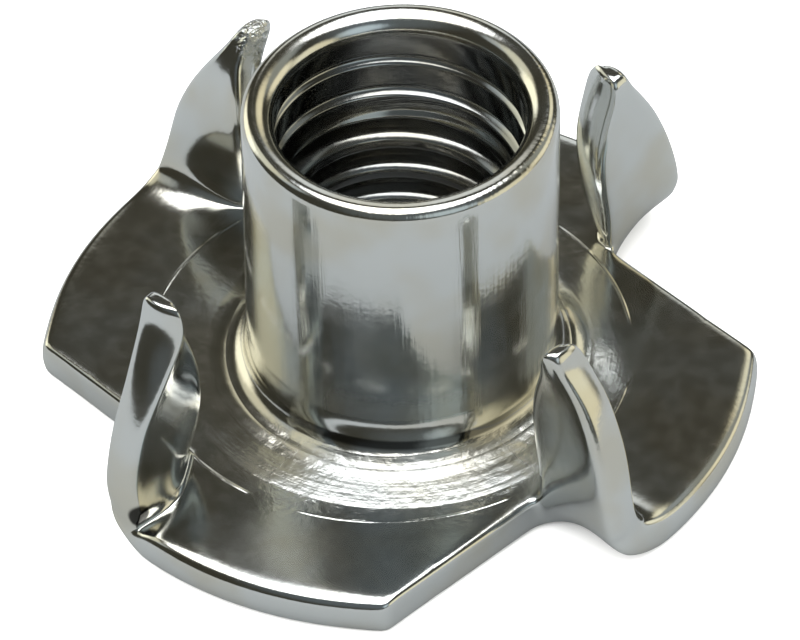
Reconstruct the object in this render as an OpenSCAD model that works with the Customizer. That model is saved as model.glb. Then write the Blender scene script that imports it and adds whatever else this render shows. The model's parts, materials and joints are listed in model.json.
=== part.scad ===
// Four-prong flanged nut for wood, stamped and drawn from one round blank of sheet.
// The origin is the centre of the flange underside and Z runs up the barrel, in millimetres.

/* [Flange] */
// Diameter of the round flange
flange_d = 22; // [20:0.1:26]
// Thickness of the sheet
sheet_t = 1.25; // [1:0.05:1.5]
// Rounding of the sheet's upper edges, left by the blanking tool
edge_r = 0.25; // [0.1:0.05:0.4]

/* [Barrel] */
// Outside diameter of the drawn barrel
barrel_d = 9.6; // [9.3:0.1:10.4]
// Height over all, from the underside to the rim
total_h = 11.4; // [9:0.1:15]
// Diameter of the bore, measured over the thread's crests
bore_d = 6.65; // [6.2:0.05:7]
// Diameter of the bore's upper end, which the drawing left wider
entry_d = 7.6; // [7.2:0.1:7.8]
// Depth of that wider end below the rim
entry_depth = 2.9; // [1.5:0.1:4]
// Height over which the bore widens to it
entry_slope = 1.1; // [0.6:0.1:2]
// Rounding of the rim's inner edge
mouth_r = 0.35; // [0.1:0.05:0.35]
// Rounding of the rim's outer edge
rim_r = 0.45; // [0.2:0.05:0.45]
// Radius of the hollow where the barrel meets the flange
foot_r = 0.65; // [0.3:0.05:1]
// Radius of the drawn lead-in under the flange
lead_r = 1; // [0.4:0.1:1.2]

/* [Prongs] */
// Distance of each straight cut from the axis
cut_offset = 7.75; // [7.4:0.05:8.2]
// Height of the prong's tip above the underside, before it is blunted
tip_h = 8.7; // [7.5:0.1:10]
// Radius that blunts the tip
tip_r = 0.45; // [0.3:0.05:0.6]
// Distance of the prong's inner face from the radial line it stands on
face_offset = 0.25; // [0:0.05:0.5]
// Radius inside the fold
fold_r = 0.6; // [0.4:0.05:0.8]
// Radius outside the fold, larger than sheet and inside radius give, as folding thins the sheet
bend_r = 2.2; // [2:0.1:2.4]
// Radius at the inner end of each cut
root_r = 1.6; // [0.8:0.1:2]

/* [Hidden] */
prong_count = 4;
prong_pitch = 360 / prong_count;
flange_r = flange_d / 2;
barrel_r = barrel_d / 2;
bore_r = bore_d / 2;
entry_r = entry_d / 2;
entry_z = total_h - entry_depth;
// Outer face of the prong and the line where its fold starts, both measured across the radial line
back_y = -face_offset - sheet_t;
fold_y = back_y + bend_r;
// Height of the centre of the prong's curved edge, which is the blank's own rim folded up
rim_arc_z = tip_h - sqrt(flange_r * flange_r - cut_offset * cut_offset);
// The blunting circle touches the straight edge and the curved one
tip_x = cut_offset + tip_r;
tip_z = rim_arc_z + sqrt(pow(flange_r - tip_r, 2) - tip_x * tip_x);
// How far a cutter runs past what it cuts, and how far a rounding laps the faces it joins
over = 1;
lap = 0.2;
zinc = [0.72, 0.74, 0.76];

// What a square corner has outside a circle that touches both its sides, lapped past the sides
module corner(r) {
  difference() {
    translate([-lap, -lap]) square(r + lap);
    translate([r, r]) circle(r);
  }
}

// Half section of the barrel and the full disc, turned about Z
module section() {
  difference() {
    union() {
      square([flange_r, sheet_t]);
      square([barrel_r, total_h]);
      translate([barrel_r, sheet_t]) corner(foot_r);
    }
    translate([0, -over]) square([bore_r, total_h + 2 * over]);
    polygon([[0, entry_z - entry_slope], [bore_r, entry_z - entry_slope], [entry_r, entry_z],
      [entry_r, total_h + over], [0, total_h + over]]);
    translate([entry_r, total_h]) mirror([0, 1]) corner(mouth_r);
    translate([bore_r, 0]) corner(lead_r);
    translate([barrel_r, total_h]) rotate(180) corner(rim_r);
    translate([flange_r, sheet_t]) rotate(180) corner(edge_r);
  }
}

// Plan of what leaves the flat sheet where one prong is folded up
module fold_gap() {
  difference() {
    translate([cut_offset, fold_y - flange_r]) square([flange_r, flange_r]);
    translate([cut_offset, fold_y]) mirror([0, 1]) corner(root_r);
  }
}

// Rounding of the flat sheet's upper edge along one cut, up to the prong
module cut_edge() {
  translate([cut_offset, back_y, sheet_t]) rotate([90, 0, 0]) linear_extrude(flange_r) rotate(180) corner(edge_r);
}

// Face outline of one prong, X outward and Y up
module prong_face() {
  difference() {
    intersection() {
      translate([0, rim_arc_z]) circle(flange_r);
      translate([cut_offset, bend_r]) square([flange_r, tip_h]);
    }
    translate([cut_offset, tip_z]) square([tip_r, tip_h]);
  }
  translate([tip_x, tip_z]) circle(tip_r);
}

// Section of the fold across its line
module fold_section() {
  difference() {
    union() {
      translate([back_y, 0]) square([bend_r, sheet_t]);
      translate([back_y, 0]) square([sheet_t, bend_r]);
      translate([-face_offset, sheet_t]) corner(fold_r);
    }
    translate([back_y, 0]) corner(bend_r);
  }
}

// Rounding of the prong's edges on its inner face: the curved edge, the tip and the straight edge
module prong_edges() {
  translate([0, 0, rim_arc_z]) rotate([90, 0, 0]) rotate_extrude()
    translate([flange_r, face_offset]) rotate(90) corner(edge_r);
  translate([cut_offset, -face_offset, bend_r]) linear_extrude(tip_z - bend_r) mirror([0, 1]) corner(edge_r);
}

// One prong with its fold, standing on the radial line along X
module prong() {
  difference() {
    translate([0, -face_offset, 0]) rotate([90, 0, 0]) linear_extrude(sheet_t) prong_face();
    prong_edges();
  }
  intersection() {
    translate([cut_offset, 0, 0]) rotate([90, 0, 90]) linear_extrude(flange_r) fold_section();
    cylinder(r = flange_r, h = 2 * bend_r);
  }
}

module tee_nut() {
  color(zinc) {
    difference() {
      rotate_extrude() section();
      for (k = [0 : prong_count - 1]) rotate(k * prong_pitch) {
        translate([0, 0, -over]) linear_extrude(sheet_t + 2 * over) fold_gap();
        cut_edge();
      }
    }
    for (k = [0 : prong_count - 1]) rotate(k * prong_pitch) prong();
  }
}

tee_nut();
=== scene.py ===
"""Looks of the flanged furniture nut: the stamped, folded and tapped sheet in bright zinc.

Lengths in the classes are millimetres, as on a drawing, and every mesh is turned to metres when it is made.
The origin is the centre of the flange underside, Z runs up the barrel, and the first prong stands on +X.
"""

import itertools
import json
import logging
import math
from dataclasses import dataclass, field
from enum import Enum
from functools import partial, reduce

import bmesh
import bpy
import numpy as np
from mathutils import Matrix, Vector

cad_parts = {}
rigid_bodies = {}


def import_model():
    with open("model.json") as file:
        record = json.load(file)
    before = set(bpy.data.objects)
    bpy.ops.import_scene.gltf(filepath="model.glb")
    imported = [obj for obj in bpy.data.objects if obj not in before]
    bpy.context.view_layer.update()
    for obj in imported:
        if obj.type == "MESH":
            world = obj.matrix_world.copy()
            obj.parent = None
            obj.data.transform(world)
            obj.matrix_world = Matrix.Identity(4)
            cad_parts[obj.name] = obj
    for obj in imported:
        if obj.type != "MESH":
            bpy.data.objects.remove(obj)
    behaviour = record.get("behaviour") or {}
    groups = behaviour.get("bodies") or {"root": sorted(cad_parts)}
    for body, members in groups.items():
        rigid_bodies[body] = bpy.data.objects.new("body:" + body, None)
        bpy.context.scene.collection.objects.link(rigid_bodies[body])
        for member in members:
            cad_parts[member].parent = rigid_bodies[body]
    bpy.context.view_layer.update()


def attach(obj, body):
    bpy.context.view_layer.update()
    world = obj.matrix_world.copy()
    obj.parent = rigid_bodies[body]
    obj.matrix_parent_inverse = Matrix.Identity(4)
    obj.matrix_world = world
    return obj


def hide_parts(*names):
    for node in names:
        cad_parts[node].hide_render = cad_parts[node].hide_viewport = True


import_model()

log = logging.getLogger("flanged_nut")

MM = 0.001
# How near two points of a tree's mesh, or of two parts of the nut, lie to be welded, in metres
WELD = 1e-6
PART_WELD = 3e-6
# Bricks through the sheet, and so also through a prong and across a fold
LAYERS = 3
BLACK = (0.0, 0.0, 0.0, 1.0)

Spot = tuple[float, float]
Point = tuple[float, float, float]
Band = tuple[float, float, float, float]
Colour = tuple[float, float, float, float]
Row = tuple[float, ...]
Line = tuple[Spot, ...]
Key = tuple[str, int, int, int]
Socket = bpy.types.NodeSocket
Feed = Socket | float | Point | Colour


class InputKind(Enum):
    """What an input of a Geometry Nodes tree brings in."""

    GEOMETRY = "NodeSocketGeometry"
    LENGTH = "NodeSocketFloat"
    COUNT = "NodeSocketInt"
    MATERIAL = "NodeSocketMaterial"
    PIECES = "NodeSocketCollection"


def smooth_step(low: float, high: float, value: float) -> float:
    """Rises from 0 at low to 1 at high, level at both ends."""
    t = min(1.0, max(0.0, (value - low) / (high - low)))
    return t * t * (3.0 - 2.0 * t)


def read(line: Line, at: float) -> float:
    """Value of a line at one place, straight between its points and level past its ends."""
    return float(np.interp(at, *zip(*line)))


def on_circle(radius: float, turn: float) -> np.ndarray:
    """X and Y of a point on a circle about the axis, at an angle in radians from +X."""
    return radius * np.array((math.cos(turn), math.sin(turn)))


def rounded_corner(radius: float, w: float) -> np.ndarray:
    """Point along a right angle whose corner is rounded.

    Args:
        radius: Radius of the rounding.
        w: Distance from the sharp corner, negative along the level side and positive up the other.

    Returns:
        How far the point lies from the sharp corner, along the level side and up.
    """
    if abs(w) >= radius:
        return np.array((max(0.0, -w), max(0.0, w)))
    turn = math.radians(45.0) * (1.0 + w / radius)
    return radius * np.array((1.0 - math.sin(turn), 1.0 - math.cos(turn)))


def put(name: str, data: bpy.types.ID) -> bpy.types.Object:
    """Makes an object of these data and links it to the scene."""
    piece = bpy.data.objects.new(name, data)
    bpy.context.scene.collection.objects.link(piece)
    return piece


class Cage:
    """A solid of bricks whose outer faces become the control cage of a subdivision surface."""

    CORNERS = ((0, 0, 0), (1, 0, 0), (1, 1, 0), (0, 1, 0), (0, 0, 1), (1, 0, 1), (1, 1, 1), (0, 1, 1))
    SIDES = ((0, 3, 2, 1), (4, 5, 6, 7), (0, 1, 5, 4), (1, 2, 6, 5), (2, 3, 7, 6), (3, 0, 4, 7))

    def __init__(self) -> None:
        """Starts with no bricks."""
        self.places: dict[Key, Point] = {}
        self.faces: dict[frozenset[Key], tuple[Key, ...]] = {}

    def add_brick(self, corners: list[Key]) -> None:
        """Adds a brick, and drops each face that it shares with one already there.

        Args:
            corners: Names of its eight corners, lower four counterclockwise, then the upper four.
        """
        for side in self.SIDES:
            keys = tuple(corners[i] for i in side)
            mark = frozenset(keys)
            if mark in self.faces:
                del self.faces[mark]
            else:
                self.faces[mark] = keys

    def open_side(self, part: str, place: int, number: int) -> None:
        """Takes away the outer faces on one side of a part.

        Args:
            part: First word in the names of the part's corners.
            place: Which place in a name tells the side.
            number: The number that stands there on that side.
        """
        for mark in list(self.faces):
            if all(key[0] == part and key[place] == number for key in mark):
                del self.faces[mark]

    def mesh(self, name: str) -> bpy.types.Mesh:
        """Makes the cage's mesh in metres.

        Args:
            name: Name of the mesh.

        Returns:
            The mesh, with only the corners that its faces use.
        """
        used = sorted({k for f in self.faces.values() for k in f})
        index = {k: i for i, k in enumerate(used)}
        mesh = bpy.data.meshes.new(name)
        corners = [tuple(MM * c for c in self.places[k]) for k in used]
        mesh.from_pydata(corners, [], [[index[k] for k in f] for f in self.faces.values()])
        mesh.update()
        return mesh


@dataclass(frozen=True)
class Grain:
    """A noise in the metal.

    Attributes:
        scale: Spots for each millimetre.
        detail: How many finer noises are laid over it.
        height: How high it stands where it is used as relief.
    """

    scale: float
    detail: float
    height: float = 0.0


class Nodes:
    """Nodes of one tree, added and linked by the script. What feeds one is a socket or a value."""

    def __init__(self, tree: bpy.types.NodeTree) -> None:
        """Takes the tree that receives the nodes."""
        self.tree = tree

    def feed(self, node: bpy.types.Node, **links: Feed) -> bpy.types.Node:
        """Feeds inputs of a node.

        Args:
            node: The node.
            **links: Input names, with underscores for spaces, or i0, i1 for a number, and what each receives.

        Returns:
            The same node.
        """
        for key, value in links.items():
            name = int(key[1:]) if key[0] == "i" and key[1:].isdigit() else key.replace("_", " ")
            if isinstance(value, Socket):
                self.tree.links.new(value, node.inputs[name])
            else:
                node.inputs[name].default_value = value
        return node

    def add(self, kind: str, settings: dict[str, str] | None = None, **links: Feed) -> bpy.types.Node:
        """Adds a node and feeds its inputs.

        Args:
            kind: Type of the node.
            settings: Properties set on the node before it is fed.
            **links: What its inputs receive, as for feed.

        Returns:
            The node.
        """
        node = self.tree.nodes.new(kind)
        for key, value in (settings or {}).items():
            setattr(node, key, value)
        return self.feed(node, **links)

    def math(self, operation: str, *values: Feed) -> Socket:
        """Adds a math node, with its operands in order."""
        operands = {f"i{number}": value for number, value in enumerate(values)}
        return self.add("ShaderNodeMath", {"operation": operation}, **operands).outputs[0]

    def product(self, *factors: Feed) -> Socket:
        """Multiplies two or more values."""
        return reduce(partial(self.math, "MULTIPLY"), factors)

    def total(self, *terms: Feed) -> Socket:
        """Adds up two or more values."""
        return reduce(partial(self.math, "ADD"), terms)

    def difference(self, whole: Feed, part: Feed) -> Socket:
        """Takes the second value from the first."""
        return self.math("SUBTRACT", whole, part)

    def limit(self, value: Feed, low: Feed, high: Feed) -> Socket:
        """Keeps a value between two others."""
        return self.math("MINIMUM", self.math("MAXIMUM", value, low), high)

    def length(self, x: Feed, y: Feed) -> Socket:
        """Length of a line that runs x one way and y across it."""
        return self.math("SQRT", self.total(self.product(x, x), self.product(y, y)))

    def vector(self, **parts: Feed) -> Socket:
        """Joins X, Y and Z, where given, to a vector."""
        return self.add("ShaderNodeCombineXYZ", **parts).outputs[0]

    def measure(self, operation: str, first: Feed, second: Feed) -> Socket:
        """Adds a vector math node that gives a number, such as a distance or a dot product."""
        node = self.add("ShaderNodeVectorMath", {"operation": operation}, i0=first, i1=second)
        return node.outputs["Value"]

    def mix(self, share: Feed, first: Feed, second: Feed) -> Socket:
        """Mixes two colours, all of the first where share is 0 and all of the second where it is 1."""
        return self.add("ShaderNodeMix", {"data_type": "RGBA"}, i0=share, i6=first, i7=second).outputs[2]

    def step(self, low: Feed, high: Feed, value: Feed) -> Socket:
        """Adds a smooth rise from 0 where value is at low to 1 at high, or a fall where low is above high."""
        smooth = {"interpolation_type": "SMOOTHSTEP"}
        return self.add("ShaderNodeMapRange", smooth, Value=value, From_Min=low, From_Max=high).outputs[0]

    def band(self, edges: Band, value: Feed) -> Socket:
        """Adds a rise between the first two edges and a fall between the last two."""
        start, full, still_full, end = edges
        return self.product(self.step(start, full, value), self.step(end, still_full, value))

    def noise(self, place: Socket, grain: Grain) -> Socket:
        """Adds a noise, about 0.5 in the mean, at a place in millimetres."""
        return self.add("ShaderNodeTexNoise", Vector=place, Scale=grain.scale, Detail=grain.detail).outputs[0]

    def relief(self, place: Socket, grain: Grain, *masks: Feed) -> Socket:
        """Adds a noise as a height in millimetres, only where its masks let it."""
        return self.product(self.noise(place, grain), *masks, grain.height)


class ShapeTree(Nodes):
    """A Geometry Nodes tree that is built in the script, with named inputs."""

    def __init__(self, name: str) -> None:
        """Starts a tree with one geometry in and one out.

        Args:
            name: Name of the tree.
        """
        super().__init__(bpy.data.node_groups.new(name, "GeometryNodeTree"))
        for way in ("INPUT", "OUTPUT"):
            self.tree.interface.new_socket("Geometry", in_out=way, socket_type=InputKind.GEOMETRY.value)
        self.start = self.tree.nodes.new("NodeGroupInput")
        self.end = self.tree.nodes.new("NodeGroupOutput")
        self.identifiers: dict[str, str] = {}

    def add_inputs(self, kind: InputKind, *names: str) -> list[Socket]:
        """Adds named inputs.

        Args:
            kind: What they bring in.
            *names: What they are called.

        Returns:
            The sockets that bring them into the tree, in the same order.
        """
        for name in names:
            item = self.tree.interface.new_socket(name, in_out="INPUT", socket_type=kind.value)
            self.identifiers[name] = item.identifier
        return [self.start.outputs[name] for name in names]

    def finish(self, geometry: Socket) -> None:
        """Shades the geometry smooth and leads it through Realize Instances and Set Material to the output.

        Args:
            geometry: Socket with the finished geometry.
        """
        (material,) = self.add_inputs(InputKind.MATERIAL, "Material")
        smooth = self.add("GeometryNodeSetShadeSmooth", Geometry=geometry).outputs[0]
        real = self.add("GeometryNodeRealizeInstances", Geometry=smooth).outputs[0]
        done = self.add("GeometryNodeSetMaterial", Geometry=real, Material=material).outputs[0]
        self.feed(self.end, i0=done)

    def run(self, values: dict[str, object]) -> bpy.types.Mesh:
        """Runs the tree and keeps the result as a plain mesh.

        Args:
            values: Value of each named input.

        Returns:
            The mesh that comes out. The object that carried the modifier is gone.
        """
        name = self.tree.name
        carrier = put(name, bpy.data.meshes.new(name))
        modifier = carrier.modifiers.new(name, "NODES")
        modifier.node_group = self.tree
        for label, value in values.items():
            modifier[self.identifiers[label]] = value
        evaluated = carrier.evaluated_get(bpy.context.evaluated_depsgraph_get())
        result = bpy.data.meshes.new_from_object(evaluated)
        bpy.data.objects.remove(carrier)
        return result


@dataclass
class Sheet:
    """The sheet from which the nut is blanked, and what all its parts share."""

    thickness: float = 1.25
    flange_r: float = 11.0
    cut_offset: float = 7.75
    hollow_r: float = 5.45
    prong_count: int = 4
    columns: int = 14
    first_point: int = -9
    refinement: int = 2

    @property
    def ring_count(self) -> int:
        """Number of points that the finished mesh has around the barrel."""
        return self.prong_count * self.columns * 2**self.refinement

    @property
    def first_angle(self) -> float:
        """Angle in degrees of the first quarter's start, first_point steps around the barrel from +X."""
        return self.first_point * 360.0 / self.ring_count


@dataclass(frozen=True)
class ProngShape:
    """How one prong came out of the press, as no two are quite alike.

    Attributes:
        tip_z: Height of the tip.
        crease: 0 for a fold that is round inside, 1 for one that is creased.
        notch: How deep the crease is torn open at the rim.
        fold_shift: How far the fold lies to the inner side at the rim.
        flare: By height, how much thicker the straight edge is on its inner side.
        rim_flare: The same for the curved edge.
        edge_lean: By height, how far the blade leans to the inner side along its straight edge.
        rim_lean: The same along its curved edge.
        roll: How far the curved edge's inner corner is drawn over near the tip.
        blunt: Width of the tip's top against that of the blade below.
        skew: How much further out the straight edge's inner corner lies than its outer one.
        bulge: How far the sheared curved edge stands out in the middle.
        die_roll: How far the flange's upper edge is drawn down beside this prong.
    """

    tip_z: float
    crease: float = 1.0
    notch: float = 0.0
    fold_shift: float = 0.0
    flare: Line = ((0.0, 0.0),)
    rim_flare: Line = ((0.0, 0.0),)
    edge_lean: Line = ((0.0, 0.0),)
    rim_lean: Line = ((0.0, 0.0),)
    roll: float = 0.15
    blunt: float = 0.6
    skew: float = 0.0
    bulge: float = 0.1
    die_roll: float = 0.02


@dataclass
class Flange:
    """The flat flange with its four cuts and the prongs folded up from them.

    Across a prong, f runs from 0 at the straight edge to 1 at the curved one. The cage's corners are named by
    column from the prong's back, line outward, and level through the sheet or up the prong.
    """

    sheet: Sheet
    prongs: tuple[ProngShape, ...] = (
        ProngShape(
            tip_z=8.05, notch=0.9, roll=0.75, blunt=0.75, die_roll=0.1,
            rim_flare=((5.8, 0.0), (7.0, 0.22), (8.1, 0.34)),
            edge_lean=(
                (1.6, -0.3), (2.7, -0.2), (3.7, -0.11), (4.4, -0.15), (5.4, -0.4), (6.6, -0.62), (8.3, -0.35),
            ),
            rim_lean=(
                (3.0, 0.0), (3.8, -0.03), (4.5, -0.03), (5.6, 0.07), (6.3, -0.06), (7.0, -0.18), (8.1, -0.45),
            ),
        ),
        ProngShape(
            tip_z=7.75, crease=0.3, fold_shift=-0.31, roll=0.25, bulge=0.04, die_roll=0.09,
            edge_lean=((5.5, 0.0), (7.0, -0.12), (7.9, -0.35)),
            rim_lean=((1.5, 0.0), (3.0, 0.16), (4.5, 0.32), (6.0, 0.36), (7.0, 0.15), (8.0, -0.15)),
        ),
        ProngShape(
            tip_z=7.95, crease=0.5, skew=0.22,
            flare=((1.5, 0.1), (2.3, 0.3), (3.5, 0.34), (4.5, 0.38), (6.0, 0.5), (7.2, 0.48), (7.9, 0.3)),
        ),
        ProngShape(
            tip_z=8.05, crease=0.0,
            flare=((6.5, 0.0), (7.3, 0.25), (8.0, 0.3)),
            edge_lean=(
                (2.5, -0.3), (3.5, -0.1), (4.7, 0.25), (6.0, 0.1), (6.8, -0.3), (7.3, -0.7), (7.8, -1.15),
                (8.2, -1.3),
            ),
            rim_lean=(
                (1.6, 0.1), (2.2, 0.15), (3.2, 0.04), (4.5, 0.07), (6.0, -0.02), (7.2, -0.4), (8.2, -1.1),
            ),
        ),
    )
    edge_step: float = 0.42
    back_line: Line = ((0.0, -1.52), (1.0, -1.44))
    face_line: Line = ((0.0, -0.42), (0.25, -0.3), (1.0, -0.2))
    crease_line: Line = ((0.0, -1.0), (0.12, -0.72), (0.41, 0.3), (0.55, 0.37), (1.0, 0.4))
    outer_bend: float = 2.55
    bend_growth: float = 6.0
    least_bend: float = 0.12
    least_fold: float = 0.25
    crease_rise: float = 1.5
    crease_slope: float = 0.9
    crease_lean: float = 0.3
    most_lean: float = 0.12
    creased_root: float = 0.3
    notch_span: Spot = (0.45, 1.0)
    notch_way: Spot = (-0.72, -0.55)
    edge_bulge: float = 0.1
    heights: Row = (1.25, 1.5, 2.0, 2.75, 3.6, 4.6, 5.6, 6.5, 7.3, 7.9, 8.3, 8.5)
    rim_line: Line = (
        (1.25, 10.97), (2.0, 10.93), (2.4, 10.88), (3.0, 10.78), (4.0, 10.54), (5.0, 10.22), (6.0, 9.84),
        (7.0, 9.32), (7.5, 9.0), (8.0, 8.72), (8.5, 8.6),
    )
    straight_line: Line = (
        (1.25, 7.77), (2.5, 7.74), (3.2, 7.64), (3.9, 7.52), (5.3, 7.4), (6.2, 7.53), (6.95, 7.82),
        (7.8, 8.05), (8.5, 8.15),
    )
    roll_line: Line = ((1.25, 0.12), (4.6, 0.15), (6.0, 0.7), (7.3, 1.0), (8.3, 0.5))
    least_width: float = 0.45
    shoulder: float = 0.55
    seam_y: Row = (-0.6, 0.6, 2.1, 3.8, 5.6, 7.33, 7.75)
    seam_x: Row = (7.75, 7.72, 7.55, 7.2, 6.7, 6.02, 5.9)
    rim_angles: Row = (3.4, 8.5, 16.0, 24.5, 33.5, 42.5, 44.8)
    roll_shares: Row = (0.0, 0.7, 1.0, 0.75, 1.0, 0.8, 0.3)
    cut_y: Row = (-4.6, -3.3, -2.1)
    widths: int = 4
    rings: int = 4

    @property
    def columns_to_cut(self) -> int:
        """Number of columns from the back of one prong to the next cut."""
        return LAYERS + len(self.seam_y)

    def level(self, t: int) -> float:
        """Height of one of the levels through the sheet."""
        return self.sheet.thickness * t / LAYERS

    def strip_key(self, c: int, u: int, t: int) -> Key:
        """Name of a corner of the band outside the cut line, which shares its first row with the plate."""
        return ("plate", c, self.rings, t) if u == 0 else ("strip", c, u, t)

    def prong_key(self, c: int, u: int, m: int) -> Key:
        """Name of a corner of the prong, which shares its lowest row with the band."""
        return self.strip_key(c, u, LAYERS) if m == 0 else ("prong", c, u, m)

    def back(self, shape: ProngShape, f: float) -> float:
        """Y of the prong's outer face at one place across it."""
        return read(self.back_line, f) + shape.fold_shift * f

    def face(self, shape: ProngShape, f: float) -> float:
        """Y of the prong's inner face."""
        return read(self.face_line, f) + shape.fold_shift * f

    def crease(self, shape: ProngShape, f: float) -> float:
        """Y at which the inner side of a creased fold starts on the top face."""
        return read(self.crease_line, f) + shape.fold_shift * f

    def bend(self, f: float) -> float:
        """Radius outside the fold, which is next to nothing at the root and grows towards the rim."""
        return max(self.least_bend, self.outer_bend * (1.0 - (1.0 - f) ** self.bend_growth))

    def outside(self, shape: ProngShape, f: float, w: float) -> np.ndarray:
        """Y and Z on the outer contour, w from the sharp corner, negative along the underside."""
        return np.array((self.back(shape, f), 0.0)) + rounded_corner(self.bend(f), w)

    def inside_creased(self, shape: ProngShape, f: float, v: float) -> np.ndarray:
        """Point of the inner contour of a fold that is creased.

        Args:
            shape: The prong.
            f: Place across the prong.
            v: Distance from the crease, positive along the top face and negative up the prong.

        Returns:
            Y and Z.
        """
        face, start, top, rise = self.face(shape, f), self.crease(shape, f), self.sheet.thickness, -v
        if rise <= 0.0:
            return np.array((start + v, top))
        if rise >= self.crease_rise:
            return np.array((face, top + rise))
        # The curve from crease to face is quadratic in s, and its rise is slope * s + rest * s * s
        slope, rest = self.crease_slope, self.crease_rise - self.crease_slope
        s = (math.sqrt(slope * slope + 4.0 * rest * rise) - slope) / (2.0 * rest)
        lean = max(-self.most_lean, min(self.most_lean, self.crease_lean * (start - face)))
        return np.array(((1 - s) ** 2 * start + 2 * s * (1 - s) * (face + lean) + s * s * face, top + rise))

    def inside(self, shape: ProngShape, f: float, v: float) -> np.ndarray:
        """Point of the inner contour of one prong, creased or round or between the two.

        Args:
            shape: The prong.
            f: Place across the prong.
            v: Distance from the corner, positive along the top face and negative up the prong.

        Returns:
            Y and Z.
        """
        face, start, top = self.face(shape, f), self.crease(shape, f), self.sheet.thickness
        w = -v - (start - face if v > 0.0 else 0.0)
        rounded = np.array((face, top)) + rounded_corner(max(self.least_fold, self.bend(f) - top), w)
        creased = self.inside_creased(shape, f, v)
        spot = rounded + (creased - rounded) * max(shape.crease, 1.0 - f / self.creased_root)
        if v == 0.0:
            spot += shape.notch * smooth_step(*self.notch_span, f) * np.array(self.notch_way)
        return spot

    def block_point(self, shape: ProngShape, f: float, c: int, t: int) -> np.ndarray:
        """Corner in the block where flange and prong meet, spread evenly between its four sides.

        Args:
            shape: The prong.
            f: Place across the prong.
            c: Column, from back to face.
            t: Level.

        Returns:
            Y and Z.
        """
        reach = self.crease(shape, f) - self.back(shape, f)
        s, q = c / LAYERS, t / LAYERS
        inner, corner = self.inside(shape, f, 0.0), self.outside(shape, f, 0.0)
        left, low = self.outside(shape, f, self.level(t)), self.outside(shape, f, -s * reach)
        left_top, right_low = self.outside(shape, f, self.sheet.thickness), self.outside(shape, f, -reach)
        right, high = right_low + (inner - right_low) * q, left_top + (inner - left_top) * s
        flat = (1 - s) * ((1 - q) * corner + q * left_top) + s * ((1 - q) * right_low + q * inner)
        return (1 - s) * left + s * right + (1 - q) * low + q * high - flat

    def across(self, u: int, width: float) -> float:
        """Distance of one of the lines along the prong from its straight edge."""
        step = min(self.edge_step, width / 3.0)
        return (0.0, step, width / 2.0, width - step, width)[u]

    def stands_out(self, line: int, bulge: float) -> float:
        """How far a sheared face stands out at one of its lines, as only its middle ones do."""
        return bulge if 0 < line < LAYERS else 0.0

    def strip_point(self, shape: ProngShape, c: int, u: int, t: int) -> Point:
        """Place of a corner of the band outside the cut line, which reaches from the fold to the next cut.

        Args:
            shape: The prong.
            c: Column.
            u: Line outward.
            t: Level.

        Returns:
            The place.
        """
        cut, radius = self.sheet.cut_offset, self.sheet.flange_r
        edge = self.stands_out(t, self.edge_bulge) if u == self.widths else 0.0
        if c <= LAYERS:
            f = self.across(u, radius - cut) / (radius - cut)
            y, z = map(float, self.block_point(shape, f, c, t))
            if u == 0:
                back = self.back(shape, 0.0)
                y, z = back + (self.crease(shape, 0.0) - back) * c / LAYERS, self.level(t)
            return cut + f * (math.sqrt(radius**2 - y * y) - cut) + edge, y, z
        number = c - LAYERS - 1
        seam = np.array((self.seam_x[number], self.seam_y[number]))
        rim = on_circle(radius + edge, math.radians(self.rim_angles[number]))
        width = float(np.linalg.norm(rim - seam))
        f = self.across(u, width) / width
        x, y = seam + (rim - seam) * f
        low = self.outside(shape, f, self.back(shape, f) - y)
        # The least distance keeps the point off the crease itself, which the notch moves
        high = self.inside(shape, f, max(1e-6, y - self.crease(shape, f)))
        y, z = low + (high - low) * (t / LAYERS)
        drop = shape.die_roll * self.roll_shares[number] if (u, t) == (self.widths, LAYERS) else 0.0
        return float(x), float(y), float(z) - drop

    def place_prong(self, cage: Cage, shape: ProngShape) -> None:
        """Places the prong above the sheet's top face.

        Args:
            cage: Cage that receives the places.
            shape: The prong.
        """
        cut, top = self.sheet.cut_offset, self.sheet.thickness
        last = len(self.heights) - 1
        for m, height in enumerate(self.heights[1:], 1):
            start = read(self.straight_line, height)
            width = max(self.least_width, read(self.rim_line, height) - start)
            roll = shape.roll * read(self.roll_line, height)
            blunt = {last: shape.blunt, last - 1: self.shoulder + 0.5 * shape.blunt}.get(m, 1.0)
            rise = top + (height - top) / (self.heights[-1] - top) * (shape.tip_z - top)
            for u in range(self.widths + 1):
                reach = self.across(u, width)
                if m == last:
                    reach = width / 2.0 + (reach - width / 2.0) * shape.blunt
                f = min(1.0, max(0.0, (start + reach - cut) / (self.sheet.flange_r - cut)))
                g = u / self.widths
                lean = (1 - g) * read(shape.edge_lean, rise) + g * read(shape.rim_lean, rise)
                low, high = self.outside(shape, f, rise), self.inside(shape, f, top - rise)
                high[0] += (1 - g) ** 2 * read(shape.flare, rise) + g**2 * read(shape.rim_flare, rise)
                for c in range(LAYERS + 1):
                    s = c / LAYERS
                    y, z = low + (high - low) * (0.5 + (s - 0.5) * blunt)
                    edge = self.stands_out(c, {0: -self.edge_bulge, self.widths: shape.bulge}.get(u, 0.0))
                    drawn = -roll * s**2 * reach / width
                    skewed = shape.skew * (s - 0.5) * (1 - g) ** 2
                    x = start + reach + edge + drawn + skewed
                    cage.places[self.prong_key(c, u, m)] = (x, float(y) + lean, float(z))

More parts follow.
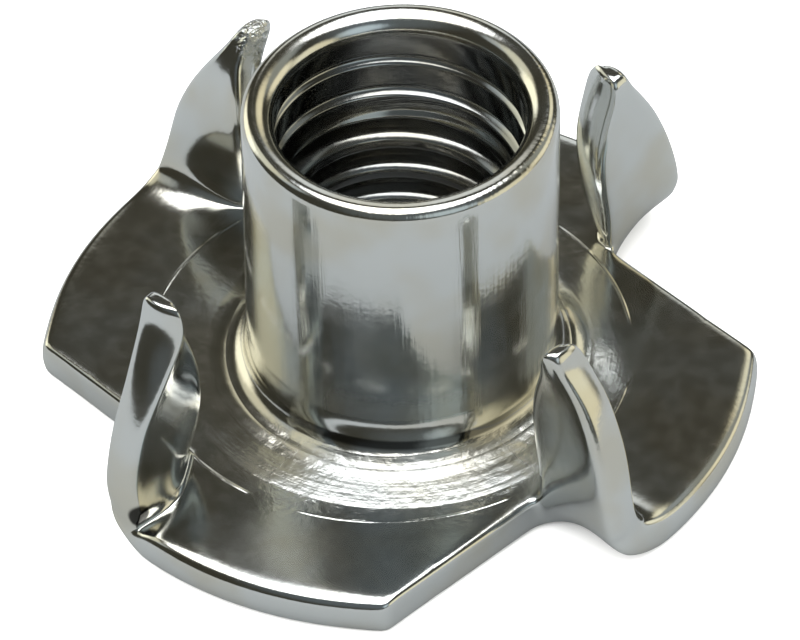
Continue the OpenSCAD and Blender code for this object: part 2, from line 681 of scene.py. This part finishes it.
    def place_plate(self, cage: Cage) -> None:
        """Places the plate between the barrel's hollow and the cuts, fold and seam around it.

        Args:
            cage: Cage that has the band's places, and receives the plate's.
        """
        last, quarter = self.sheet.columns, 360.0 / self.sheet.prong_count
        for c, t in itertools.product(range(last + 1), range(LAYERS + 1)):
            start = on_circle(self.sheet.hollow_r, math.radians(self.sheet.first_angle + quarter * c / last))
            key = ("plate", c, self.rings, t)
            if c > self.columns_to_cut:
                along = (*self.cut_y, self.back_line[0][1])[c - self.columns_to_cut - 1]
                cage.places[key] = (-along, self.sheet.cut_offset, self.level(t))
            end = np.array(cage.places[key][:2])
            inset = end + (start - end) * (self.edge_step / float(np.linalg.norm(end - start)))
            for ring in range(self.rings):
                x, y = start + (inset - start) * ring / (self.rings - 1)
                cage.places[("plate", c, ring, t)] = (float(x), float(y), self.level(t))

    def sector(self, shape: ProngShape, name: str) -> bpy.types.Mesh:
        """Builds one quarter of the flange with its prong.

        Args:
            shape: How this quarter's prong came out.
            name: Name of the mesh.

        Returns:
            The quarter's control cage, open towards the barrel and towards its neighbours.
        """
        cage = Cage()
        for c, u, t in itertools.product(*map(range, (self.columns_to_cut + 1, self.widths + 1, LAYERS + 1))):
            cage.places[self.strip_key(c, u, t)] = self.strip_point(shape, c, u, t)
        self.place_prong(cage, shape)
        self.place_plate(cage)
        bricks = (
            (lambda a, b, c: ("plate", b, a, c), self.rings, self.sheet.columns, LAYERS),
            (lambda a, b, c: self.strip_key(b, a, c), self.widths, self.columns_to_cut, LAYERS),
            (lambda a, b, c: self.prong_key(b, a, c), self.widths, LAYERS, len(self.heights) - 1),
        )
        for name_of, *counts in bricks:
            for i, j, k in itertools.product(*map(range, counts)):
                cage.add_brick([name_of(i + a, j + b, k + c) for a, b, c in Cage.CORNERS])
        for place, number in ((2, 0), (1, 0), (1, self.sheet.columns)):
            cage.open_side("plate", place, number)
        return cage.mesh(name)

    def ring_tree(self) -> ShapeTree:
        """Builds the tree that sets quarters in a ring, welds them and smooths the cage.

        Returns:
            The tree, with the quarters, their number, the welding distance and the refinement as inputs.
        """
        tree = ShapeTree("prong_ring")
        (quarters,) = tree.add_inputs(InputKind.PIECES, "Quarter shapes")
        count, level = tree.add_inputs(InputKind.COUNT, "Quarters", "Refinement")
        (weld,) = tree.add_inputs(InputKind.LENGTH, "Weld distance")
        index = tree.add("GeometryNodeInputIndex").outputs[0]
        turn = tree.math("DIVIDE", tree.product(index, 2.0 * math.pi), count)
        shapes = tree.add("GeometryNodeCollectionInfo", Collection=quarters, Separate_Children=True)
        ring = tree.add(
            "GeometryNodeInstanceOnPoints",
            Points=tree.add("GeometryNodePoints", Count=count).outputs[0],
            Instance=shapes.outputs[0],
            Pick_Instance=True,
            Instance_Index=index,
            Rotation=tree.vector(Z=turn),
        )
        real = tree.add("GeometryNodeRealizeInstances", Geometry=ring.outputs[0])
        welded = tree.add("GeometryNodeMergeByDistance", Geometry=real.outputs[0], Distance=weld)
        fine = tree.add("GeometryNodeSubdivisionSurface", Mesh=welded.outputs[0], Level=level)
        tree.finish(fine.outputs[0])
        return tree

    def build(self, material: bpy.types.Material) -> bpy.types.Mesh:
        """Builds the whole flange, open where the barrel joins it.

        Args:
            material: Finish of the faces.

        Returns:
            The mesh.
        """
        quarters = bpy.data.collections.new("quarters")
        for number, shape in enumerate(self.prongs):
            name = f"quarter_{number}"
            quarters.objects.link(bpy.data.objects.new(name, self.sector(shape, name)))
        values = {
            "Quarter shapes": quarters,
            "Quarters": self.sheet.prong_count,
            "Refinement": self.sheet.refinement,
            "Weld distance": WELD,
            "Material": material,
        }
        result = self.ring_tree().run(values)
        for quarter in list(quarters.objects):
            bpy.data.objects.remove(quarter)
        bpy.data.collections.remove(quarters)
        return result


@dataclass
class Barrel:
    """The drawn barrel with its rounded rim, the hollow at its foot and the lead-in below."""

    sheet: Sheet
    radius: float = 4.8
    height: float = 11.4
    bore_r: float = 3.325
    entry_r: float = 3.8
    mouth_r: float = 0.6
    foot_r: float = 0.65
    rim_r: float = 0.38
    rim_slope: float = math.radians(10.0)
    lead_r: float = 1.0
    under_r: float = 4.9
    arc_steps: int = 8
    wall_rows: int = 10

    @property
    def mouth_top(self) -> float:
        """Height at which the rounding of the rim's inner edge would be level."""
        run = self.radius - self.rim_r - self.entry_r - self.mouth_r * (1 - math.sin(self.rim_slope))
        return self.height - run * math.tan(self.rim_slope) + self.mouth_r * (1 - math.cos(self.rim_slope))

    def outer_profile(self) -> list[Spot]:
        """Works out the profile from the flange's top face over the rim to where the thread starts.

        Returns:
            Radius and height of each row.
        """
        foot_r, top, slope = self.radius + self.foot_r, self.sheet.thickness, self.rim_slope
        shares = [i / self.arc_steps for i in range(self.arc_steps + 1)]
        turns = [math.pi / 2 * share for share in shares]
        leans = [slope + (math.pi / 2 - slope) * share for share in shares]
        heights = np.linspace(top + self.foot_r, self.height - self.rim_r, self.wall_rows + 2)[1:-1]
        middle, mouth_r = self.entry_r + self.mouth_r, self.mouth_r
        radius, height, rim_r = self.radius, self.height, self.rim_r
        return [
            *((foot_r - self.foot_r * math.sin(a), top + self.foot_r * (1 - math.cos(a))) for a in turns),
            *((radius, z) for z in heights),
            *((radius - rim_r * (1 - math.cos(a)), height - rim_r * (1 - math.sin(a))) for a in turns),
            *((middle - mouth_r * math.sin(a), self.mouth_top + mouth_r * (math.cos(a) - 1)) for a in leans),
        ]

    def under_profile(self) -> list[Spot]:
        """Radius and height of the rows along the underside, from the lead-in to the flange."""
        return [(radius, 0.0) for radius in (self.bore_r + self.lead_r, self.under_r, self.sheet.hollow_r)]

    def revolve(self, shell: bmesh.types.BMesh, profile: list[Spot]) -> None:
        """Turns a profile about the axis.

        Args:
            shell: Mesh that receives the faces, in metres.
            profile: Radius and height of each row, in an order that puts the faces' outside to the right.
        """
        count = self.sheet.ring_count
        angles = np.arange(count) * 2.0 * math.pi / count
        rows = [[shell.verts.new((*on_circle(MM * r, a), MM * z)) for a in angles] for r, z in profile]
        for (low, high), i in itertools.product(zip(rows, rows[1:]), range(count)):
            j = (i + 1) % count
            shell.faces.new((low[i], low[j], high[j], high[i]))


@dataclass
class Thread:
    """The tapped bore, a strip of mesh whose rows follow the thread."""

    sheet: Sheet
    barrel: Barrel
    pitch: float = 1.25
    root_r: float = 4.0
    start_z: float = 0.27
    fade: float = 0.7
    rows_per_turn: int = 32
    turns: int = 11
    turns_below: int = 2
    profile: Line = (
        (0.0, 1.0), (0.05, 0.99), (0.1, 0.9), (0.32, 0.12), (0.38, 0.015), (0.42, 0.0),
        (0.58, 0.0), (0.62, 0.015), (0.68, 0.12), (0.9, 0.9), (0.95, 0.99), (1.0, 1.0),
    )
    flare: Line = ((0.0, 0.0), (0.64, 0.02), (0.70, 0.2), (0.74, 0.72), (0.79, 0.93), (0.9, 1.0), (1.0, 1.0))

    def lengths(self) -> dict[str, float]:
        """Lengths that the tree takes as inputs, in the order in which it unpacks them."""
        return {
            "Pitch": self.pitch,
            "Crest radius": self.barrel.bore_r,
            "Root radius": self.root_r,
            "Entry radius": self.barrel.entry_r,
            "Lead-in radius": self.barrel.lead_r,
            "Start height": self.start_z,
            "Top height": self.barrel.mouth_top - self.barrel.mouth_r,
            "Fade height": self.fade,
        }

    def counts(self) -> dict[str, int]:
        """Counts that the tree takes as inputs, in order too."""
        return {
            "Columns": self.sheet.ring_count,
            "Rows per turn": self.rows_per_turn,
            "Turns": self.turns,
            "Turns below": self.turns_below,
        }

    @staticmethod
    def add_curve(tree: ShapeTree, value: Socket, spots: Line) -> Socket:
        """Adds a float curve.

        Args:
            tree: Tree that receives it.
            value: Where to read the curve.
            spots: Its points, from left to right.

        Returns:
            The curve's socket.
        """
        curve = tree.add("ShaderNodeFloatCurve", Value=value)
        points = curve.mapping.curves[0].points
        points[0].location, points[1].location = spots[0], spots[-1]
        for spot in spots[1:-1]:
            points.new(*spot)
        curve.mapping.update()
        return curve.outputs[0]

    def tree(self) -> ShapeTree:
        """Builds the tree that bends a grid into the tapped bore.

        Returns:
            The tree, with the thread's sizes in metres and its counts as inputs.
        """
        tree = ShapeTree("tapped_bore")
        pitch, crest, root, entry, lead, start, top, fade = tree.add_inputs(InputKind.LENGTH, *self.lengths())
        columns, per_turn, turns, below = tree.add_inputs(InputKind.COUNT, *self.counts())
        (weld,) = tree.add_inputs(InputKind.LENGTH, "Weld distance")
        rows = tree.total(tree.product(per_turn, turns), 1.0)
        grid = tree.add("GeometryNodeMeshGrid", Vertices_X=tree.total(columns, 1.0), Vertices_Y=rows)
        index = tree.add("GeometryNodeInputIndex").outputs[0]
        column = tree.math("FLOOR", tree.math("DIVIDE", tree.total(index, 0.5), rows))
        around = tree.math("DIVIDE", column, columns)
        along = tree.math("DIVIDE", tree.difference(index, tree.product(column, rows)), per_turn)
        climb = tree.difference(tree.total(along, around), below)
        z = tree.limit(tree.total(start, tree.product(pitch, climb)), 0.0, top)
        cut = self.add_curve(tree, tree.math("FRACT", along), self.profile)
        thread_r = tree.total(crest, tree.product(tree.difference(root, crest), cut))
        flare = self.add_curve(tree, tree.math("DIVIDE", z, top), self.flare)
        bore_r = tree.total(crest, tree.product(flare, tree.difference(entry, crest)))
        thread_r = tree.math("MAXIMUM", thread_r, bore_r)
        faded = tree.add("ShaderNodeMapRange", Value=z, From_Min=tree.difference(top, fade), From_Max=top)
        thread_r = tree.total(thread_r, tree.product(tree.difference(entry, thread_r), faded.outputs[0]))
        drop = tree.math("MAXIMUM", tree.difference(lead, z), 0.0)
        reach = tree.math("SQRT", tree.difference(tree.product(lead, lead), tree.product(drop, drop)))
        lead_r = tree.difference(tree.total(crest, lead), reach)
        radius = tree.math("MAXIMUM", thread_r, lead_r)
        angle = tree.product(around, 2.0 * math.pi)
        x, y = (tree.product(radius, tree.math(wave, angle)) for wave in ("COSINE", "SINE"))
        place = tree.vector(X=x, Y=y, Z=z)
        moved = tree.add("GeometryNodeSetPosition", Geometry=grid.outputs[0], Position=place)
        welded = tree.add("GeometryNodeMergeByDistance", Geometry=moved.outputs[0], Distance=weld)
        tree.finish(welded.outputs[0])
        return tree

    def build(self, material: bpy.types.Material) -> bpy.types.Mesh:
        """Builds the tapped bore, open at both ends.

        Args:
            material: Finish of the faces.

        Returns:
            The mesh.
        """
        lengths = {name: MM * length for name, length in self.lengths().items()}
        return self.tree().run({**lengths, **self.counts(), "Weld distance": WELD, "Material": material})


@dataclass
class Nut:
    """The whole nut, welded from flange, barrel and tapped bore."""

    sheet: Sheet = field(default_factory=Sheet)
    barrel_at_foot: Spot = (-0.114, 0.023)
    barrel_at_rim: Spot = (-0.168, 0.232)
    settled_r: Spot = (5.5, 7.2)

    def shell(self, material: bpy.types.Material) -> bpy.types.Mesh:
        """Welds the parts into one closed mesh.

        Args:
            material: Finish of the faces.

        Returns:
            The mesh in metres.
        """
        barrel = Barrel(self.sheet)
        shell = bmesh.new()
        shell.from_mesh(Flange(self.sheet).build(material))
        self.round_opening(shell)
        barrel.revolve(shell, barrel.outer_profile())
        barrel.revolve(shell, barrel.under_profile())
        shell.from_mesh(Thread(self.sheet, barrel).build(material))
        bmesh.ops.remove_doubles(shell, verts=shell.verts, dist=PART_WELD)
        bmesh.ops.recalc_face_normals(shell, faces=shell.faces)
        open_edges = sum(not edge.is_manifold for edge in shell.edges)
        log.info("nut shell: %d faces, %d open edges", len(shell.faces), open_edges)
        self.settle_barrel(shell, MM * barrel.height)
        mesh = bpy.data.meshes.new("tee_nut_shell")
        shell.to_mesh(mesh)
        shell.free()
        mesh.materials.clear()
        mesh.materials.append(material)
        for polygon in mesh.polygons:
            polygon.use_smooth = True
            polygon.material_index = 0
        return mesh

    def round_opening(self, shell: bmesh.types.BMesh) -> None:
        """Sets the points around the flange's opening exactly where the barrel's are.

        Args:
            shell: Mesh that holds only the flange.
        """
        step = 2.0 * math.pi / self.sheet.ring_count
        top = MM * self.sheet.thickness
        for vert in {v for e in shell.edges if e.is_boundary for v in e.verts}:
            turn = round(math.atan2(vert.co.y, vert.co.x) / step) * step
            vert.co = (*on_circle(MM * self.sheet.hollow_r, turn), top if vert.co.z > 0.5 * top else 0.0)

    def settle_barrel(self, shell: bmesh.types.BMesh, height: float) -> None:
        """Leans the barrel by the little that the drawing left it off true.

        Args:
            shell: The welded mesh.
            height: Height of the barrel in metres.
        """
        foot, rim = (MM * Vector((*spot, 0.0)) for spot in (self.barrel_at_foot, self.barrel_at_rim))
        low, high = self.settled_r
        for vert in shell.verts:
            share = 1.0 - smooth_step(low, high, math.hypot(vert.co.x, vert.co.y) / MM)
            if share > 0.0:
                vert.co += share * foot.lerp(rim, vert.co.z / height)


@dataclass(frozen=True)
class Patch:
    """A round spot in the finish.

    Attributes:
        centre: Its middle.
        edge: Distances from the middle at which it has faded out and at which it is full.
        strength: What it reaches where it is full.
    """

    centre: Point
    edge: Spot
    strength: float = 1.0


@dataclass(frozen=True)
class Surface:
    """The place on the nut whose finish is worked out, in millimetres.

    Attributes:
        nodes: The material's nodes.
        place: The place itself.
        radius: Its distance from the axis.
        angle: Its angle about the axis, in radians.
        z: Its height.
        side: 1 on the side that the drawing ring rubbed hardest, and -1 across from it.
    """

    nodes: Nodes
    place: Socket
    radius: Socket
    angle: Socket
    z: Socket
    side: Socket

    def patch(self, patch: Patch) -> Socket:
        """Mask of a round spot."""
        away = self.nodes.measure("DISTANCE", self.place, patch.centre)
        return self.nodes.product(self.nodes.step(*patch.edge, away), patch.strength)


@dataclass(frozen=True)
class ZincPlate:
    """Bright zinc over stamped steel, with the marks that the press, the drawing ring and handling left. Its
    colour also holds painted shade in the bore, in a torn notch and in the crease at the barrel's foot.

    Of a pair of heights, distances or sides, the first is where a mask is 0 and the second where it is 1. Of
    four, it is 0 at the outer ones and 1 between the inner ones.
    """

    base: Colour = (0.67, 0.685, 0.675, 1.0)
    warm: Colour = (0.62, 0.60, 0.53, 1.0)
    stains: Grain = Grain(0.28, 3.0)
    stained: Spot = (0.42, 0.66)
    roughness: Spot = (0.12, 0.15)
    grain: Grain = Grain(1.7, 4.0)
    dulled: Spot = (0.35, 0.65)
    # Painted shade inside the bore: the radius and height past which the colour darkens, and how far towards
    # black
    bore_r: Spot = (4.15, 4.0)
    bore_z: Spot = (10.95, 10.7)
    painted_bore_shade: float = 0.4
    burnish_way: Point = (0.67, 0.74, 0.0)
    burnish_side: Spot = (0.5, 1.0)
    burnish_least: float = 0.12
    burnish_z: Band = (1.1, 1.2, 1.4, 1.7)
    burnish_start: Spot = (4.8, 5.05)
    burnish_inner: Spot = (7.2, 6.85)
    burnish_outer: Spot = (8.4, 6.6)
    burnish_fray: float = 0.35
    burnish_roughness: float = 0.33
    outer_share: float = 0.5
    tilt: float = math.tan(math.radians(10.5))
    tilt_r: Spot = (4.95, 7.0)
    tilt_side: Spot = (0.72, 1.0)
    foot_z: Spot = (2.8, 1.4)
    hollow_r: float = 5.95
    hollow_width: float = 0.6
    hollow_curve: float = 0.34
    # Painted shade in the crease at the barrel's foot: on which side, at which heights and radii, and how
    # dark
    crease_shade_side: Spot = (0.5, 0.85)
    crease_shade_z: Band = (1.52, 1.64, 1.82, 1.93)
    crease_shade_r: Band = (4.55, 4.65, 5.1, 5.3)
    crease_shade_strength: float = 0.8
    waves: Grain = Grain(0.2, 1.0, 0.05)
    peel: Grain = Grain(5.0, 2.0, 0.0025)
    pits: Grain = Grain(3.0, 3.0, 0.042)
    scuffs: Grain = Grain(1.0, 5.0)
    scuff_run: Spot = (5.0, 1.6)
    scuff_depths: Spot = (0.022, 0.012)
    drawn: Grain = Grain(1.0, 4.0, 0.012)
    drawn_run: Spot = (26.0, 0.25)
    wall_z: Spot = (2.0, 2.6)
    wall_r: Band = (4.6, 4.75, 5.0, 5.2)
    mark_centre: Spot = (0.24, -0.17)
    mark_r: float = 7.5
    mark_width: Spot = (0.07, 0.0)
    mark_z: Spot = (1.6, 1.3)
    mark_height: float = 0.012
    patches: Grain = Grain(0.3, 1.0)
    patchy: Spot = (0.47, 0.56)
    tears: Grain = Grain(3.2, 4.0, 0.22)
    torn_tip: Patch = Patch((-1.9, -7.9, 8.0), (1.3, 0.3))
    # Painted shade: a dark spot in the colour where the first prong's fold is torn open at the rim
    painted_notch_shade: Patch = Patch((10.8, 0.1, 1.5), (0.48, 0.34), 0.93)
    worn_spot: Patch = Patch((8.3, 4.1, 1.2), (3.0, 0.0), 0.55)

    def surface(self, nodes: Nodes) -> Surface:
        """Works out where on the nut a point of the finish lies.

        Args:
            nodes: The material's nodes.

        Returns:
            The place with its measures.
        """
        where = nodes.add("ShaderNodeTexCoord").outputs["Object"]
        place = nodes.add("ShaderNodeVectorMath", {"operation": "SCALE"}, i0=where, Scale=1.0 / MM).outputs[0]
        x, y, z = nodes.add("ShaderNodeSeparateXYZ", Vector=place).outputs
        radius = nodes.length(x, y)
        side = nodes.math("DIVIDE", nodes.measure("DOT_PRODUCT", place, self.burnish_way), radius)
        return Surface(nodes, place, radius, nodes.math("ARCTAN2", y, x), z, side)

    def foot_zone(self, at: Surface, grain: Socket) -> tuple[Socket, Socket]:
        """Works out the zone around the foot that the drawing ring rubbed, hardest on one side.

        Args:
            at: The place.
            grain: A noise that frays the zone's edges.

        Returns:
            The mask of the inner zone, and that of the whole.
        """
        nodes, least = at.nodes, self.burnish_least
        frayed = nodes.total(at.radius, nodes.product(nodes.difference(grain, 0.5), self.burnish_fray))
        hard = nodes.total(least, nodes.product(nodes.step(*self.burnish_side, at.side), 1.0 - least))
        start = nodes.step(*self.burnish_start, at.radius)
        level = nodes.product(nodes.band(self.burnish_z, at.z), start, hard)
        inner, whole = (nodes.step(*edge, frayed) for edge in (self.burnish_inner, self.burnish_outer))
        return nodes.product(level, inner), nodes.product(level, whole)

    def foot_crease_shade(self, at: Surface) -> Socket:
        """Mask of painted shade: a dark line in the crease where the barrel meets its hollow, on the rubbed
        side.
        """
        bands = at.nodes.band(self.crease_shade_z, at.z), at.nodes.band(self.crease_shade_r, at.radius)
        return at.nodes.product(*bands, at.nodes.step(*self.crease_shade_side, at.side), self.crease_shade_strength)

    def foot_shape(self, at: Surface) -> Socket:
        """Works out how the flange rises towards the foot, tilted on the rubbed side and curved all round.

        Args:
            at: The place.

        Returns:
            The rise in millimetres.
        """
        nodes = at.nodes
        start, end = self.tilt_r
        inward = nodes.limit(nodes.difference(end, at.radius), 0.0, end - start)
        tilted = nodes.product(inward, self.tilt, nodes.step(*self.tilt_side, at.side))
        near = nodes.limit(nodes.difference(self.hollow_r, at.radius), 0.0, self.hollow_width)
        curved = nodes.product(near, near, self.hollow_curve)
        return nodes.product(nodes.total(tilted, curved), nodes.step(*self.foot_z, at.z))

    def tool_mark(self, at: Surface) -> Socket:
        """Works out the faint circle that the press tool left around the foot.

        Args:
            at: The place.

        Returns:
            The circle's height in millimetres.
        """
        nodes = at.nodes
        split = nodes.add("ShaderNodeSeparateXYZ", Vector=at.place).outputs
        x, y = (nodes.difference(split[i], c) for i, c in enumerate(self.mark_centre))
        away = nodes.math("ABSOLUTE", nodes.difference(nodes.length(x, y), self.mark_r))
        patchy = nodes.step(*self.patchy, nodes.noise(at.place, self.patches))
        line = nodes.product(nodes.step(*self.mark_width, away), nodes.step(*self.mark_z, at.z))
        return nodes.product(line, patchy, self.mark_height)

    def relief(self, at: Surface, zones: tuple[Socket, Socket]) -> Socket:
        """Adds up the fine relief.

        Args:
            at: The place.
            zones: The masks of the zone around the foot.

        Returns:
            The height in millimetres.
        """
        nodes = at.nodes
        x, y = (nodes.product(value, scale) for value, scale in zip((at.radius, at.angle), self.scuff_run))
        depth = nodes.total(*(nodes.product(zone, depth) for zone, depth in zip(zones, self.scuff_depths)))
        scuffs = nodes.product(nodes.noise(nodes.vector(X=x, Y=y), self.scuffs), depth)
        x, y = (nodes.product(value, scale) for value, scale in zip((at.angle, at.z), self.drawn_run))
        wall = nodes.product(nodes.step(*self.wall_z, at.z), nodes.band(self.wall_r, at.radius))
        return nodes.total(
            scuffs,
            nodes.relief(nodes.vector(X=x, Y=y), self.drawn, wall),
            nodes.relief(at.place, self.waves),
            nodes.relief(at.place, self.peel),
            nodes.relief(at.place, self.pits, zones[1]),
            nodes.relief(at.place, self.tears, at.patch(self.torn_tip)),
            self.tool_mark(at),
            self.foot_shape(at),
        )

    def colour(self, at: Surface) -> Socket:
        """Mixes the colour: stained zinc, with painted shade in the bore, in the torn notch and in the crease
        at the barrel's foot.

        Args:
            at: The place.

        Returns:
            The colour's socket.
        """
        nodes = at.nodes
        zinc = nodes.mix(nodes.step(*self.stained, nodes.noise(at.place, self.stains)), self.base, self.warm)
        # Painted shade: inside the bore the colour is mixed towards black, standing in for the shade down the
        # thread
        inside, below = nodes.step(*self.bore_r, at.radius), nodes.step(*self.bore_z, at.z)
        bore = nodes.product(inside, below, self.painted_bore_shade)
        # Painted shade: the torn notch and the crease at the barrel's foot are mixed towards black
        painted_shade = nodes.math("MAXIMUM", at.patch(self.painted_notch_shade), self.foot_crease_shade(at))
        return nodes.mix(painted_shade, nodes.mix(bore, zinc, BLACK), BLACK)

    def material(self) -> bpy.types.Material:
        """Builds the material.

        Returns:
            The material.
        """
        material = bpy.data.materials.new("zinc_plate")
        material.use_nodes = True
        nodes = Nodes(material.node_tree)
        at = self.surface(nodes)
        grain = nodes.noise(at.place, self.grain)
        zones = self.foot_zone(at, grain)
        low, high = self.roughness
        polish = nodes.total(low, nodes.product(nodes.step(*self.dulled, grain), high - low))
        worn = nodes.product(at.patch(self.worn_spot), nodes.step(*self.burnish_z[:2], at.z))
        rub = nodes.math("MAXIMUM", zones[0], nodes.product(zones[1], self.outer_share))
        rub = nodes.math("MAXIMUM", rub, worn)
        spread = nodes.product(nodes.difference(self.burnish_roughness, polish), rub)
        bump = nodes.add("ShaderNodeBump", Height=self.relief(at, zones), Distance=MM).outputs[0]
        shader = material.node_tree.nodes["Principled BSDF"]
        nodes.feed(shader, Base_Color=self.colour(at), Roughness=nodes.total(polish, spread), Normal=bump)
        shader.inputs["Metallic"].default_value = 1.0
        return material


@dataclass(frozen=True)
class PaperWhite:
    """Matt white of the table top, darker where the metal mirrors it."""

    base: Colour = (0.86, 0.86, 0.85, 1.0)
    mirrored: Colour = (0.193, 0.204, 0.207, 1.0)
    roughness: float = 0.9

    def material(self) -> bpy.types.Material:
        """Builds the material.

        Returns:
            The material.
        """
        material = bpy.data.materials.new("paper_white")
        material.use_nodes = True
        nodes = Nodes(material.node_tree)
        glossy = nodes.add("ShaderNodeLightPath").outputs["Is Glossy Ray"]
        colour = nodes.mix(glossy, self.base, self.mirrored)
        nodes.feed(material.node_tree.nodes["Principled BSDF"], Base_Color=colour, Roughness=self.roughness)
        return material


@dataclass(frozen=True)
class Glow:
    """A soft bright patch of the room, which the metal mirrors.

    Attributes:
        turn: Degrees from the camera's side, counterclockwise seen from above.
        rise: Degrees above the floor.
        core: Half the angle across its even middle, in degrees.
        rim: Half the angle at which it has faded out.
        colour: Light of its middle.
    """

    turn: float
    rise: float
    core: float
    rim: float
    colour: Colour


@dataclass
class Studio:
    """Floor, light and camera."""

    azimuth: float = 137.87
    elevation: float = 44.245
    distance: float = 234.441
    roll: float = 1.84
    target: Point = (-0.0512, 0.0463, 2.394)
    focal_px: float = 7617.489
    picture_px: float = 800.0
    sensor: float = 36.0
    clip: Spot = (0.01, 10.0)
    floor_size: float = 3.0
    floor_drop: float = 2e-5
    lamp_way: Spot = (-30.0, 60.0)
    lamp_reach: float = 0.6
    lamp_size: float = 0.4
    lamp_power: float = 1.5
    fill: Colour = (3.0, 3.0, 3.0, 1.0)
    room: tuple[Colour, Colour] = ((0.053, 0.051, 0.039, 1.0), (0.13, 0.15, 0.16, 1.0))
    room_way: Spot = (10.0, 46.0)
    room_spread: Spot = (0.6, 0.95)
    glows: tuple[Glow, ...] = (
        Glow(180.0, 86.0, 23.0, 30.0, (3.6, 3.65, 3.65, 1.0)),
        Glow(110.0, 18.0, 8.0, 22.0, (1.15, 1.08, 0.82, 1.0)),
        Glow(72.0, 8.0, 14.0, 28.0, (1.0, 0.94, 0.7, 1.0)),
        Glow(-97.0, 45.0, 5.0, 13.0, (0.5, 0.54, 0.54, 1.0)),
        Glow(124.0, 42.0, 8.0, 22.0, (0.34, 0.36, 0.34, 1.0)),
        Glow(-119.0, 36.0, 10.0, 20.0, (0.85, 0.83, 0.66, 1.0)),
        Glow(-129.0, 14.0, 10.0, 21.0, (1.7, 1.66, 1.35, 1.0)),
        Glow(180.0, 24.0, 10.0, 16.5, (0.9, 0.92, 0.89, 1.0)),
        Glow(30.0, 26.0, 9.0, 24.0, (0.62, 0.72, 0.76, 1.0)),
        Glow(151.0, 35.0, 3.0, 15.0, (1.1, 1.02, 0.74, 1.0)),
    )

    def toward(self, turn: float, rise: float) -> Vector:
        """Direction from the nut, given as in a glow."""
        a, e = math.radians(self.azimuth + turn), math.radians(rise)
        return Vector((math.sin(a) * math.cos(e), -math.cos(a) * math.cos(e), math.sin(e)))

    def add_floor(self) -> bpy.types.Object:
        """Adds the pale floor.

        Returns:
            The floor.
        """
        half = self.floor_size / 2.0
        mesh = bpy.data.meshes.new("floor")
        corners = [(x * half, y * half, -self.floor_drop) for x, y in ((-1, -1), (1, -1), (1, 1), (-1, 1))]
        mesh.from_pydata(corners, [], [(0, 1, 2, 3)])
        mesh.materials.append(PaperWhite().material())
        return put("floor", mesh)

    def add_camera(self) -> None:
        """Adds the camera and makes it the scene's."""
        a, r = math.radians(self.azimuth), math.radians(self.roll)
        back, level = self.toward(0.0, self.elevation), Vector((math.cos(a), math.sin(a), 0.0))
        upright = back.cross(level)
        right = math.cos(r) * level - math.sin(r) * upright
        up = math.sin(r) * level + math.cos(r) * upright
        data = bpy.data.cameras.new("camera")
        data.sensor_fit, data.sensor_width = "HORIZONTAL", self.sensor
        data.lens = self.focal_px * self.sensor / self.picture_px
        data.clip_start, data.clip_end = self.clip
        camera = put("camera", data)
        place = MM * Vector(self.target) + MM * self.distance * back
        camera.matrix_world = Matrix.Translation(place) @ Matrix((right, up, back)).transposed().to_4x4()
        bpy.context.scene.camera = camera

    def add_lamp(self) -> None:
        """Adds the soft lamp that lights the table, and that the metal doesn't mirror."""
        data = bpy.data.lights.new("lamp", "AREA")
        data.shape, data.size, data.energy = "DISK", self.lamp_size, self.lamp_power
        lamp, way = put("lamp", data), self.toward(*self.lamp_way)
        turned = way.to_track_quat("Z", "Y").to_matrix().to_4x4()
        lamp.matrix_world = Matrix.Translation(self.lamp_reach * way) @ turned
        lamp.visible_glossy = False

    def add_world(self) -> None:
        """Adds the dim room with its glows, which the metal mirrors, and an even light for the table."""
        world = bpy.data.worlds.new("room")
        world.use_nodes = True
        nodes = Nodes(world.node_tree)
        ahead = nodes.add("ShaderNodeTexCoord").outputs["Generated"]
        near = nodes.measure("DOT_PRODUCT", ahead, tuple(self.toward(*self.room_way)))
        light = nodes.mix(nodes.step(*self.room_spread, near), *self.room)
        for glow in self.glows:
            rim, core = (math.cos(math.radians(angle)) for angle in (glow.rim, glow.core))
            near = nodes.measure("DOT_PRODUCT", ahead, tuple(self.toward(glow.turn, glow.rise)))
            light = nodes.mix(nodes.step(rim, core, near), light, glow.colour)
        light = nodes.mix(nodes.add("ShaderNodeLightPath").outputs["Is Diffuse Ray"], light, self.fill)
        nodes.feed(world.node_tree.nodes["Background"], Color=light)
        bpy.context.scene.world = world

    def build(self) -> None:
        """Sets up the floor, the lights and the camera."""
        self.add_floor()
        self.add_world()
        self.add_lamp()
        self.add_camera()
        bpy.context.scene.view_settings.view_transform = "Standard"


def main() -> None:
    """Builds the nut and its studio, and notes the sizes."""
    nut = put("nut", Nut().shell(ZincPlate().material()))
    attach(nut, "root")
    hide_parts("tee_nut")
    log.info("nut: %d faces", len(nut.data.polygons))
    Studio().build()


if __name__ == "__main__":
    logging.basicConfig(level=logging.INFO, format="%(name)s: %(message)s")
    main()
